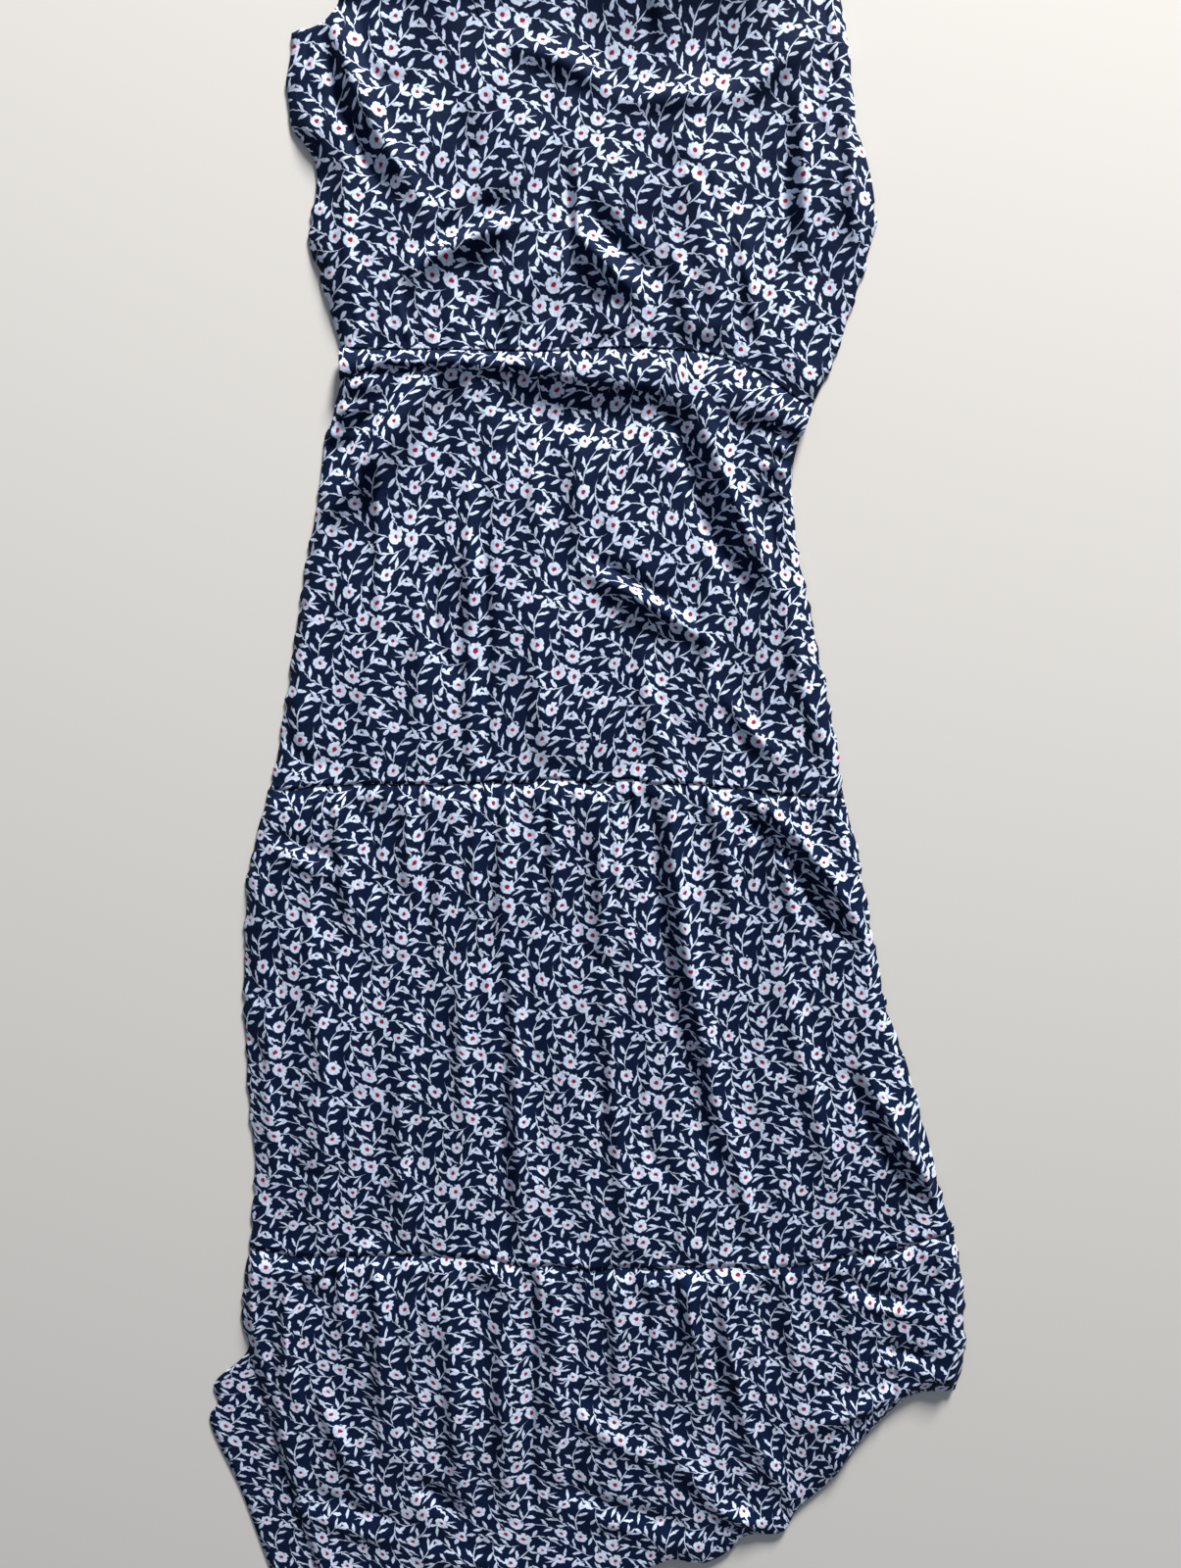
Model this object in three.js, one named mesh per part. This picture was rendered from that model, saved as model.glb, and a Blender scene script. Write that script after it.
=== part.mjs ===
// A maxi dress laid flat, face up: a loose bodice with short grown-on sleeves, an elastic waist, and a
// skirt of three gathered tiers. The cloth sags over the waist in a soft fold, and the hem tier lies
// aslant with its lower right edge turned under and the back's stitched hem peeping out at the left.
// Millimetres, +Z up. The neck is towards +Y and the viewer's right is +X.
import * as THREE from 'three';

// Driving sizes
const clothWall = 1.2;
const seamGap = 0.3;
const restHeight = clothWall + seamGap + clothWall; // outer face of a front lying on its back
const loft = { bodice: 5, tier1: 5, tier2: 5, tier3: 7 }; // air under each front, mid panel
const edgeRoll = 16; // width over which a free edge rounds down to the back
const hemRoll = 22;
const seamGroove = { deep: 2.4, wide: 7 };
const backInset = 3; // the back's side edges lie this far inside the front's
const coarseColumns = 40;
const columnsPerGather = 4;
const backColumns = 10;
const backRowStep = 34;
const notchedRowStep = 17; // the hem tier's back has a small notch in its left edge

// Gathers along each seam: how many, how high, and how far they run into the cloth
const gathers = {
  bodice: { count: 28, high: 1.5, reach: 26 },
  tier1: { count: 28, high: 1.4, reach: 16 },
  tier2: { count: 34, high: 1.7, reach: 34 },
  tier3: { count: 40, high: 1.7, reach: 34 },
};

// Seams and open edges, left to right, where the cloth lies
const waistSeam = [
  { x: -188, y: 331 }, { x: -105, y: 330 }, { x: -31, y: 329 }, { x: 35, y: 332 },
  { x: 99, y: 325 }, { x: 134, y: 309 }, { x: 167, y: 287 },
];
const tier2Seam = [
  { x: -255, y: -2 }, { x: -158, y: 0 }, { x: -60, y: 3 }, { x: 40, y: 3 }, { x: 120, y: -3 }, { x: 202, y: -10 },
];
const tier3Seam = [
  { x: -289, y: -399 }, { x: -200, y: -405 }, { x: -110, y: -404 }, { x: -40, y: -414 },
  { x: 82, y: -415 }, { x: 190, y: -410 }, { x: 250, y: -397 }, { x: 308, y: -384 },
];
const frontHem = [
  { x: -238, y: -728 }, { x: -150, y: -737 }, { x: -60, y: -735 }, { x: 0, y: -722 }, { x: 50, y: -707 },
  { x: 74, y: -698 }, { x: 98, y: -702 }, { x: 122, y: -690 }, { x: 137, y: -674 }, { x: 170, y: -670 },
  { x: 182, y: -648 }, { x: 216, y: -613 }, { x: 238, y: -578 }, { x: 279, y: -536 }, { x: 314, y: -532 },
];
const backHem = [
  { x: -277, y: -738 }, { x: -200, y: -741 }, { x: -110, y: -728 }, { x: -10, y: -708 }, { x: 80, y: -680 },
  { x: 160, y: -642 }, { x: 205, y: -600 }, { x: 240, y: -556 }, { x: 304, y: -520 },
];

// The neck and shoulders, left to right; the back's neck is cut shallower
const neck = { left: -98, right: 96, shoulder: 694, frontLow: 588, backLow: 668 };
const shoulderEnd = { left: { x: -216, y: 549 }, right: { x: 172, y: 648 } };
const leftShoulder = [{ x: -190, y: 556 }, { x: -168, y: 596 }];

// Side edges between those seams, from the neck down
const bodiceSides = {
  left: [
    { x: -221, y: 508 }, { x: -217, y: 486 }, { x: -203, y: 463 }, { x: -203, y: 438 }, { x: -208, y: 412 },
    { x: -202, y: 386 }, { x: -191, y: 345 },
  ],
  right: [
    { x: 179, y: 575 }, { x: 187, y: 533 }, { x: 193, y: 493 }, { x: 204, y: 456 }, { x: 211, y: 420 },
    { x: 206, y: 395 }, { x: 190, y: 345 }, { x: 177, y: 309 },
  ],
};
const tier1Sides = {
  left: [{ x: -188, y: 305 }, { x: -200, y: 272 }, { x: -208, y: 228 }, { x: -223, y: 154 }, { x: -243, y: 50 }],
  right: [{ x: 160, y: 268 }, { x: 154, y: 245 }, { x: 156, y: 206 }, { x: 167, y: 154 }, { x: 191, y: 50 }],
};
const tier2Sides = {
  left: [{ x: -262, y: -26 }, { x: -275, y: -66 }, { x: -283, y: -150 }, { x: -285, y: -247 }, { x: -282, y: -325 }],
  right: [{ x: 210, y: -36 }, { x: 230, y: -129 }, { x: 244, y: -188 }, { x: 271, y: -264 }, { x: 293, y: -340 }],
};
const tier3Sides = {
  left: [{ x: -296, y: -428 }, { x: -299, y: -456 }, { x: -293, y: -503 }, { x: -280, y: -560 }, { x: -257, y: -660 }],
  right: [{ x: 315, y: -418 }, { x: 321, y: -461 }, { x: 322, y: -507 }],
};
const tier3BackLeft = [
  { x: -292, y: -470 }, { x: -297, y: -497 }, { x: -327, y: -528 }, { x: -324, y: -546 }, { x: -332, y: -558 },
  { x: -307, y: -634 }, { x: -287, y: -705 },
];

// The fold that sags over the waist: how far it hangs below the seam, from the left side to the right
const sag = [
  { across: 0, hang: 24 }, { across: 0.1, hang: 12 }, { across: 0.25, hang: 13 }, { across: 0.44, hang: 20 },
  { across: 0.62, hang: 34 }, { across: 0.74, hang: 42 }, { across: 0.86, hang: 38 }, { across: 1, hang: 20 },
];
// Its section down the cloth: the share of the hang, and the height of the outer face
const sagSection = [
  { hang: 0, height: 4.6 },
  { hang: 0.22, height: 8.2 },
  { hang: 0.6, height: 11.6 },
  { hang: 0.88, height: 11.2 },
  { hang: 1, height: 8.4 },
  { hang: 0.9, height: 5.6 },
  { hang: 0.55, height: 5.2 },
  { hang: 0.3, height: 5.0 },
  { hang: 0.18, height: 4.1 },
  { hang: 0.3, height: 3.2 },
];

// The front's lower edge, turned under: distance in from the edge, and the height of the outer face
const turnStart = 10; // the plain cloth ends this far from the edge
const turnedHem = [
  { inset: 3.5, height: 5.8 },
  { inset: 1, height: 5.0 },
  { inset: 0, height: 3.5 },
  { inset: 1, height: 2.0 },
  { inset: 3.5, height: 1.5 },
  { inset: 14, height: 1.5 },
];
const hemRise = { high: 2.4, reach: 44 }; // the layer turned under lifts the cloth by the edge

// The largest folds: a ridge, or a trough where high is below zero, from one end to the other
const folds = {
  bodice: [
    { x0: -181, y0: 548, x1: -127, y1: 440, wide: 13, high: 5 },
    { x0: -126, y0: 388, x1: -58, y1: 418, wide: 13, high: 6 },
    { x0: -10, y0: 416, x1: 34, y1: 368, wide: 12, high: 6 },
    { x0: 6, y0: 434, x1: 50, y1: 388, wide: 12, high: -4 },
    { x0: 152, y0: 500, x1: 157, y1: 400, wide: 11, high: 5 },
    { x0: -168, y0: 580, x1: 176, y1: 574, wide: 16, high: 6 },
    { x0: -172, y0: 520, x1: -178, y1: 370, wide: 12, high: 4 },
    { x0: 70, y0: 540, x1: 96, y1: 350, wide: 20, high: 4 },
  ],
  tier1: [
    { x0: -118, y0: 312, x1: -206, y1: 205, wide: 12, high: 8 },
    { x0: -122, y0: 296, x1: -160, y1: 170, wide: 12, high: -5 },
    { x0: 86, y0: 284, x1: 146, y1: 156, wide: 14, high: 6 },
    { x0: 64, y0: 282, x1: 118, y1: 158, wide: 11, high: -5 },
    { x0: -91, y0: 230, x1: -94, y1: 6, wide: 12, high: 4 },
    { x0: -2, y0: 166, x1: 62, y1: 130, wide: 11, high: 4 },
    { x0: 94, y0: 190, x1: 92, y1: 50, wide: 12, high: 4 },
    { x0: -165, y0: 120, x1: -180, y1: 8, wide: 14, high: 3 },
  ],
  tier2: [
    { x0: 62, y0: -4, x1: 112, y1: -300, wide: 14, high: 7 },
    { x0: 44, y0: -4, x1: 92, y1: -300, wide: 11, high: -4 },
    { x0: 136, y0: -14, x1: 214, y1: -114, wide: 13, high: 6 },
    { x0: -199, y0: -8, x1: -193, y1: -112, wide: 12, high: 5 },
    { x0: -102, y0: -130, x1: -102, y1: -290, wide: 13, high: 4 },
    { x0: -60, y0: -150, x1: -58, y1: -380, wide: 14, high: 5 },
    { x0: 226, y0: -236, x1: 290, y1: -340, wide: 13, high: 6 },
    { x0: 158, y0: -150, x1: 206, y1: -330, wide: 16, high: 4 },
    { x0: 14, y0: -160, x1: 32, y1: -380, wide: 14, high: 4 },
    { x0: -222, y0: -130, x1: -226, y1: -330, wide: 15, high: 4 },
  ],
  tier3: [
    { x0: -70, y0: -408, x1: -74, y1: -640, wide: 14, high: 6 },
    { x0: -50, y0: -400, x1: -52, y1: -640, wide: 11, high: -6 },
    { x0: -30, y0: -408, x1: -30, y1: -640, wide: 14, high: 5 },
    { x0: -176, y0: -404, x1: -180, y1: -540, wide: 13, high: 5 },
    { x0: -116, y0: -410, x1: -112, y1: -620, wide: 13, high: 5 },
    { x0: 119, y0: -410, x1: 128, y1: -545, wide: 14, high: 5 },
    { x0: 216, y0: -440, x1: 286, y1: -458, wide: 14, high: 5 },
    { x0: 240, y0: -500, x1: 300, y1: -514, wide: 14, high: 5 },
    { x0: -262, y0: -645, x1: -170, y1: -676, wide: 15, high: 5 },
    { x0: -20, y0: -640, x1: 90, y1: -680, wide: 16, high: 5 },
    { x0: 135, y0: -560, x1: 172, y1: -632, wide: 15, high: 5 },
  ],
};

// Rows down a front, as distances from its gathered seam, then evenly to the far edge
const gatherRows = [0, 6, 16];
const plainRowStep = 24;

const clothColour = 0x1b2a44;

const clamp01 = (value) => Math.min(1, Math.max(0, value));
const shifted = (edge, by) => edge.map(({ x, y }) => ({ x, y: y + by }));
const movedIn = (side, by) => side.map(({ x, y }) => ({ x: x + by, y }));

// A smooth line through the rows of a table, measured by its own length from 0 to 1
function lineThrough(rows) {
  const points = rows.map(({ x, y }) => new THREE.Vector3(x, y, 0));
  const curve = new THREE.CatmullRomCurve3(points, false, 'centripetal');
  return (share) => curve.getPointAt(clamp01(share));
}

// The neck and both shoulders as one line, with the neck a half ellipse between them
function neckLine(low) {
  const middle = (neck.left + neck.right) / 2;
  const half = (neck.right - neck.left) / 2;
  const steps = 12;
  const curve = [];
  for (let i = 0; i <= steps; i += 1) {
    const turn = (Math.PI * i) / steps;
    curve.push({
      x: middle - half * Math.cos(turn),
      y: neck.shoulder - (neck.shoulder - low) * Math.sin(turn),
    });
  }
  return [shoulderEnd.left, ...leftShoulder, ...curve, shoulderEnd.right];
}

// A four-sided piece of cloth between two seams and two side edges
function patchBetween(top, bottom, sides) {
  const upper = shifted(top, -seamGap / 2);
  const lower = shifted(bottom, seamGap / 2);
  const topLine = lineThrough(upper);
  const bottomLine = lineThrough(lower);
  const leftLine = lineThrough([upper[0], ...sides.left, lower[0]]);
  const rightLine = lineThrough([upper.at(-1), ...sides.right, lower.at(-1)]);
  const corners = [topLine(0), topLine(1), bottomLine(0), bottomLine(1)];
  return (across, down) => {
    const [topLeft, topRight, bottomLeft, bottomRight] = corners;
    const point = topLine(across).multiplyScalar(1 - down);
    point.addScaledVector(bottomLine(across), down);
    point.addScaledVector(leftLine(down), 1 - across);
    point.addScaledVector(rightLine(down), across);
    point.addScaledVector(topLeft, -(1 - across) * (1 - down));
    point.addScaledVector(topRight, -across * (1 - down));
    point.addScaledVector(bottomLeft, -(1 - across) * down);
    point.addScaledVector(bottomRight, -across * down);
    return point;
  };
}

// How much a fold lifts the cloth at a point: round across, and fading out at both ends
function foldLift({ x0, y0, x1, y1, wide, high }, x, y) {
  const length = Math.hypot(x1 - x0, y1 - y0);
  const along = ((x - x0) * (x1 - x0) + (y - y0) * (y1 - y0)) / length;
  const beside = ((x - x0) * (y1 - y0) - (y - y0) * (x1 - x0)) / length;
  const past = Math.max(0, -along, along - length);
  const ends = Math.sin(Math.PI * clamp01(0.12 + 0.76 * (along / length)));
  return high * ends * Math.exp(-((beside / wide) ** 2) - (past / wide) ** 2);
}

const lengthAt = (place, across) => place(across, 1).distanceTo(place(across, 0));
const rounded = (distance, reach) => Math.sin((Math.PI / 2) * clamp01(distance / reach));
const groove = (distance) => seamGroove.deep * Math.exp(-((distance / seamGroove.wide) ** 2));

// Height of a front's outer face: its loft, folds, seam grooves and rounded free edges
function frontHeight(name, place, turnedUnder) {
  return (across, down) => {
    const here = place(across, down);
    const width = place(1, down).distanceTo(place(0, down));
    const length = lengthAt(place, across);
    const sides = rounded(across * width, edgeRoll) * rounded((1 - across) * width, edgeRoll);
    const fromHem = (1 - down) * length;
    const bottom = turnedUnder ? rounded(fromHem, hemRoll) : 1;
    const rise = turnedUnder ? hemRise.high * (1 - rounded(fromHem, hemRise.reach)) : 0;
    let lift = loft[name];
    for (const fold of folds[name]) lift += foldLift(fold, here.x, here.y);
    lift -= groove(down * length);
    if (!turnedUnder) lift -= groove(fromHem);
    const kept = (lift + Math.hypot(lift, 1)) / 2;
    return here.setZ(restHeight + rise + kept * sides * bottom);
  };
}

// A gather's rise above the smooth cloth, uneven from one gather to the next
function gatherLift({ count, high, reach }, across, distance) {
  const place = count * across + 0.35 * Math.sin(9 * across);
  const uneven = 0.7 + 0.3 * Math.sin(2.4 * Math.round(place));
  const wave = (1 + Math.cos(2 * Math.PI * place)) / 2;
  const fade = (0.35 + clamp01(distance / 6)) * Math.exp(-((distance / reach) ** 2));
  return high * uneven * wave * fade * rounded(across, 0.02) * rounded(1 - across, 0.02);
}

// Triangles between two rows of points that run the same way
function stitch(faces, upper, lower) {
  let i = 0;
  let j = 0;
  while (i < upper.length - 1 || j < lower.length - 1) {
    const nextUpper = (i + 1) / (upper.length - 1);
    const nextLower = (j + 1) / (lower.length - 1);
    const stepUpper = j === lower.length - 1 || (i < upper.length - 1 && nextUpper <= nextLower);
    if (stepUpper) {
      faces.push(upper[i], lower[j], upper[i + 1]);
      i += 1;
    } else {
      faces.push(upper[i], lower[j], lower[j + 1]);
      j += 1;
    }
  }
}

// One closed wall from rows of outer and inner points, from the neck end down
function closedWall(outerRows, innerRows) {
  const faces = [];
  const backwards = (row) => [...row].reverse();
  for (let r = 0; r + 1 < outerRows.length; r += 1) {
    stitch(faces, outerRows[r], outerRows[r + 1]);
    stitch(faces, backwards(innerRows[r]), backwards(innerRows[r + 1]));
  }
  stitch(faces, innerRows[0], outerRows[0]);
  stitch(faces, outerRows.at(-1), innerRows.at(-1));
  const leftEnd = (rows) => rows.map((row) => row[0]);
  const rightEnd = (rows) => rows.map((row) => row.at(-1));
  stitch(faces, leftEnd(outerRows), leftEnd(innerRows));
  stitch(faces, rightEnd(innerRows), rightEnd(outerRows));
  return new THREE.BufferGeometry().setFromPoints(faces);
}

// Points moved in from the outer face by the cloth's thickness, square to the cloth
function innerFace(rows) {
  return rows.map((row, r) => {
    const above = rows[Math.max(0, r - 1)];
    const below = rows[Math.min(rows.length - 1, r + 1)];
    return row.map((point, c) => {
      const beside = row[Math.min(row.length - 1, c + 1)].clone().sub(row[Math.max(0, c - 1)]);
      const down = below[c].clone().sub(above[c]);
      const square = down.cross(beside).normalize();
      return point.clone().addScaledVector(square, -clothWall);
    });
  });
}

const spread = (count, at) => Array.from({ length: count + 1 }, (_, i) => at(i / count));

// A patch's length from its top seam to its lower one, averaged over its width
function meanLength(place) {
  const lengths = spread(8, (across) => lengthAt(place, across));
  return lengths.reduce((sum, length) => sum + length, 0) / lengths.length;
}

// A front panel: smooth rows give the inside, and the outside adds the gathers at its seam
function frontWall(gather, smooth, rows) {
  const dense = gather.count * columnsPerGather;
  const smoothRows = rows.map((row) => spread(coarseColumns, (across) => smooth(across, row)));
  const outerRows = rows.map((row, r) => {
    if (row.fromSeam > gatherRows.at(-1)) return smoothRows[r];
    return spread(dense, (across) => {
      const point = smooth(across, row);
      point.z += gatherLift(gather, across, row.fromSeam);
      return point;
    });
  });
  return closedWall(outerRows, innerFace(smoothRows));
}

// Row places along a panel of this length, close together by its gathered seam
function rowsAlong(length, seamIsLow) {
  const plain = Math.round((length - gatherRows.at(-1)) / plainRowStep);
  const last = gatherRows.at(-1);
  const distances = [...gatherRows, ...spread(plain, (share) => last + share * (length - last)).slice(1)];
  const rows = distances.map((fromSeam) => ({
    fromSeam,
    at: seamIsLow ? 1 - fromSeam / length : fromSeam / length,
  }));
  return seamIsLow ? rows.reverse() : rows;
}

// The hem tier: down to its lower edge, round it and a little way back under
function tier3Surface(place) {
  const skirt = frontHeight('tier3', place, true);
  return (across, { at, section }) => {
    const length = lengthAt(place, across);
    if (!section) return skirt(across, at * (1 - turnStart / length));
    return place(across, 1 - section.inset / length).setZ(section.height);
  };
}

// The hang of the waist fold at a place across the dress
function hangAt(across) {
  const next = Math.max(1, sag.findIndex((row) => row.across >= across));
  const [before, after] = [sag[next - 1], sag[next]];
  const share = (across - before.across) / (after.across - before.across);
  return THREE.MathUtils.lerp(before.hang, after.hang, THREE.MathUtils.smoothstep(share, 0, 1));
}

// The first tier: down over the waist fold, back under it, and then down the skirt
function tier1Surface(place) {
  const skirt = frontHeight('tier1', place, false);
  return (across, { at, section }) => {
    const folded = hangAt(across) / lengthAt(place, across);
    const begin = folded * sagSection.at(-1).hang;
    if (!section) return skirt(across, begin + (1 - begin) * at);
    return place(across, folded * section.hang).setZ(section.height);
  };
}

function plainSurface(name, place) {
  const surface = frontHeight(name, place, false);
  return (across, { at }) => surface(across, at);
}

function clothMesh(name, geometry) {
  const material = new THREE.MeshStandardMaterial({ color: clothColour, roughness: 0.9, metalness: 0 });
  const mesh = new THREE.Mesh(geometry, material);
  mesh.name = name;
  return mesh;
}

// A back panel lies flat on the floor under its front
function backWall(place, rowStep) {
  const rowCount = Math.round(meanLength(place) / rowStep);
  const rows = spread(rowCount, (down) => spread(backColumns, (across) => place(across, down).setZ(clothWall)));
  const inner = rows.map((row) => row.map((point) => point.clone().setZ(0)));
  return closedWall(rows, inner);
}

const insetSides = (sides) => ({
  left: movedIn(sides.left, backInset),
  right: movedIn(sides.right, -backInset),
});

const bodicePlace = patchBetween(neckLine(neck.frontLow), waistSeam, bodiceSides);
const tier1Place = patchBetween(waistSeam, tier2Seam, tier1Sides);
const tier2Place = patchBetween(tier2Seam, tier3Seam, tier2Sides);
const tier3Place = patchBetween(tier3Seam, frontHem, tier3Sides);

const beyondGathers = Infinity;
const skirtRowCount = Math.round(meanLength(tier1Place) / plainRowStep);
const tier1Rows = [
  ...sagSection.map((section, i) => ({ section, fromSeam: gatherRows[i] ?? beyondGathers })),
  ...spread(skirtRowCount, (at) => ({ at, fromSeam: beyondGathers })).slice(1),
];
const tier3Rows = [
  ...rowsAlong(meanLength(tier3Place), false),
  ...turnedHem.map((section) => ({ section, fromSeam: beyondGathers })),
];

const fronts = {
  bodice_front: {
    gather: gathers.bodice,
    surface: plainSurface('bodice', bodicePlace),
    rows: rowsAlong(meanLength(bodicePlace), true),
  },
  tier1_front: { gather: gathers.tier1, surface: tier1Surface(tier1Place), rows: tier1Rows },
  tier2_front: {
    gather: gathers.tier2,
    surface: plainSurface('tier2', tier2Place),
    rows: rowsAlong(meanLength(tier2Place), false),
  },
  tier3_front: { gather: gathers.tier3, surface: tier3Surface(tier3Place), rows: tier3Rows },
};
const backs = {
  bodice_back: patchBetween(neckLine(neck.backLow), waistSeam, insetSides(bodiceSides)),
  tier1_back: patchBetween(waistSeam, tier2Seam, insetSides(tier1Sides)),
  tier2_back: patchBetween(tier2Seam, tier3Seam, insetSides(tier2Sides)),
  tier3_back: patchBetween(tier3Seam, backHem, { left: tier3BackLeft, right: insetSides(tier3Sides).right }),
};

const dress = new THREE.Group();
for (const [name, { gather, surface, rows }] of Object.entries(fronts)) {
  dress.add(clothMesh(name, frontWall(gather, surface, rows)));
}
for (const [name, place] of Object.entries(backs)) {
  const rowStep = name === 'tier3_back' ? notchedRowStep : backRowStep;
  dress.add(clothMesh(name, backWall(place, rowStep)));
}

// The origin is on the floor, under the middle of the whole dress
const middle = new THREE.Box3().setFromObject(dress).getCenter(new THREE.Vector3());
for (const piece of dress.children) piece.geometry.translate(-middle.x, -middle.y, 0);

export default dress;
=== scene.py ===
import math

import bpy
import numpy as np
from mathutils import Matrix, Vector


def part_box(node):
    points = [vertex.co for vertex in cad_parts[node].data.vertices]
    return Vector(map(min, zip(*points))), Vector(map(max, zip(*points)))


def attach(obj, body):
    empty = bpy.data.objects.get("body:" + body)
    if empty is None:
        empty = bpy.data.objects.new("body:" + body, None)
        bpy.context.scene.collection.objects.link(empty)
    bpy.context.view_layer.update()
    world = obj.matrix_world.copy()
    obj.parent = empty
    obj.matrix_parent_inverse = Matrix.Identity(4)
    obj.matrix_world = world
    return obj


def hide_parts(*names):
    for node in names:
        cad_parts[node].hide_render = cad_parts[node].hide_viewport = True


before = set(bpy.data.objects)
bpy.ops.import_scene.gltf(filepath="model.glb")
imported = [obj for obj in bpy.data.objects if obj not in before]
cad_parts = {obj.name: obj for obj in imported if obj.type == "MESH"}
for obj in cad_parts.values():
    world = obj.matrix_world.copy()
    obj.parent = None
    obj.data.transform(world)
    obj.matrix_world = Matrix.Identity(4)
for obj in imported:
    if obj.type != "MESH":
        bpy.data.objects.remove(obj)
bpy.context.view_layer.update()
print("frame loaded:", len(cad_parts), "panels")

mm = 0.001

# seams and edges of the dress as it lies, in mm, x to the viewer's right and y towards the neck
waistSeam = [(-188, 331), (-105, 330), (-31, 329), (35, 332), (99, 325), (134, 309), (167, 287)]
tier2Seam = [(-255, -2), (-158, 0), (-60, 3), (40, 3), (120, -3), (202, -10)]
tier3Seam = [
    (-289, -399), (-200, -405), (-110, -404), (-40, -414), (82, -415), (190, -410), (250, -397),
    (308, -384),
]
frontHem = [
    (-238, -728), (-150, -737), (-60, -735), (0, -722), (50, -707), (74, -698), (98, -702), (122, -690),
    (137, -674), (170, -670), (182, -648), (216, -613), (238, -578), (279, -536), (314, -532),
]
backHem = [
    (-277, -738), (-200, -741), (-110, -728), (-10, -708), (80, -680), (160, -642), (205, -600),
    (240, -556), (304, -520),
]
neck = {"left": -98, "right": 96, "shoulder": 694, "frontLow": 588, "backLow": 668, "points": 13}
shoulders = {"leftEnd": (-216, 549), "left": [(-190, 556), (-168, 596)], "rightEnd": (172, 648)}

# how the cloth lies, in mm
lay = {
    "backTop": 0.5,  # upper face of the back on the floor
    "frontRest": 1.7,  # outer face of a front where it meets the back
    "shell": 0.45, "edgeRoll": 12, "hemRoll": 20,  # thickness, and how far in sides and hem are rounded
    "hemLift": 2.6, "hemLiftReach": 44,  # how high the hem's edge is held, and how far in that reaches
    "lap": 1.2, "overhang": 0.2,  # how far a tier goes under its seam, and the panel above past it
    "step": 0.45, "stepReach": 4,  # half the step in height at a seam
    "seamHigh": 4.8, "seamReach": 22,  # height at which panels meet, and how far from there folds are full
    "ripple": 1.6, "rippleReach": 9, "rippleLong": 8, "rippleSeed": 61,  # how the side edges waver
    "seamWaver": 2.2, "waverLong": 17, "waverSeed": 62,  # how the seams between tiers waver
    "gatherStart": 13,  # how far below its seam a gather is full
    "creaseThin": 0.16,  # creases follow the zero lines of a noise
    "creaseBreak": 1.6, "breakSeed": 50,  # a wider noise stops them in places
    "soften": 0.8,  # how gently the hollows come to rest on the back
    "relief": 1.65,  # how much higher than the solids' folds the real cloth stands
    "foldEnd": 0.1, "foldPast": 1.5,  # how a fold starts, and how far it fades past its ends
    "fullnessShown": 0.3,  # share of the gathered-up width that shows
    "evenRows": 0.45,  # share of a grid's rows that are spread evenly, not packed to a seam
}

# each gather's own place, half width, height, length and slant, against evenly spread ones
gatherDraw = {
    "stray": 0.32, "half": (0.26, 0.44), "high": (0.45, 1.35), "slant": 0.5,
    "shortest": 0.45, "longer": 2.2, "fewLong": 2.5, "fade": 1.4,
}
noiseCells = 96
noiseStart = 900  # keeps the noise's coordinates above zero
lineSteps = 25
edgeSteps = 400


def lineThrough(rows):
    # smooth line through a table's points, measured by its own length from 0 to 1
    points = np.array(rows, float)
    points = np.vstack([2 * points[0] - points[1], points, 2 * points[-1] - points[-2]])
    steps = np.linspace(0, 1, lineSteps)[:-1, None]
    made = []
    for a, b, c, d in zip(points, points[1:], points[2:], points[3:]):
        ab, bc, cd = (math.sqrt(math.dist(p, q)) for p, q in ((a, b), (b, c), (c, d)))
        leave = ((b - a) / ab - (c - a) / (ab + bc) + (c - b) / bc) * bc
        arrive = ((c - b) / bc - (d - b) / (bc + cd) + (d - c) / cd) * bc
        made.append(
            b + leave * steps + (3 * (c - b) - 2 * leave - arrive) * steps**2
            + (2 * (b - c) + leave + arrive) * steps**3
        )
    made = np.vstack(made + [points[-2:-1]])
    run = np.concatenate([[0], np.cumsum(np.hypot(*np.diff(made, axis=0).T))])
    return lambda share: np.stack([np.interp(share, run / run[-1], column) for column in made.T], -1)


def neckLine(low):
    turn = np.linspace(0, math.pi, neck["points"])
    middle, half = (neck["left"] + neck["right"]) / 2, (neck["right"] - neck["left"]) / 2
    curve = zip(middle - half * np.cos(turn), neck["shoulder"] - (neck["shoulder"] - low) * np.sin(turn))
    return [shoulders["leftEnd"], *shoulders["left"], *curve, shoulders["rightEnd"]]


def patchBetween(top, bottom, left, right):
    topLine, bottomLine = lineThrough(top), lineThrough(bottom)
    leftLine = lineThrough([top[0], *left, bottom[0]])
    rightLine = lineThrough([top[-1], *right, bottom[-1]])

    def place(across, down):
        s, t = across[..., None], down[..., None]
        blend = (1 - t) * topLine(across) + t * bottomLine(across)
        blend = blend + (1 - s) * leftLine(down) + s * rightLine(down)
        corners = (1 - t) * ((1 - s) * np.array(top[0]) + s * np.array(top[-1]))
        return blend - corners - t * ((1 - s) * np.array(bottom[0]) + s * np.array(bottom[-1]))

    return place


def spanOf(place, across, down):
    # local width and length of a patch
    zero, one = np.zeros_like(across), np.ones_like(across)
    width = np.linalg.norm(place(one, down) - place(zero, down), axis=-1)
    length = np.linalg.norm(place(across, one) - place(across, zero), axis=-1)
    return width, length


def rounded(distance, reach):
    return np.sin(math.pi / 2 * np.clip(distance / reach, 0, 1))


def eased(distance, reach):
    share = np.clip(distance / reach, 0, 1)
    return share * share * (3 - 2 * share)


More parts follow.
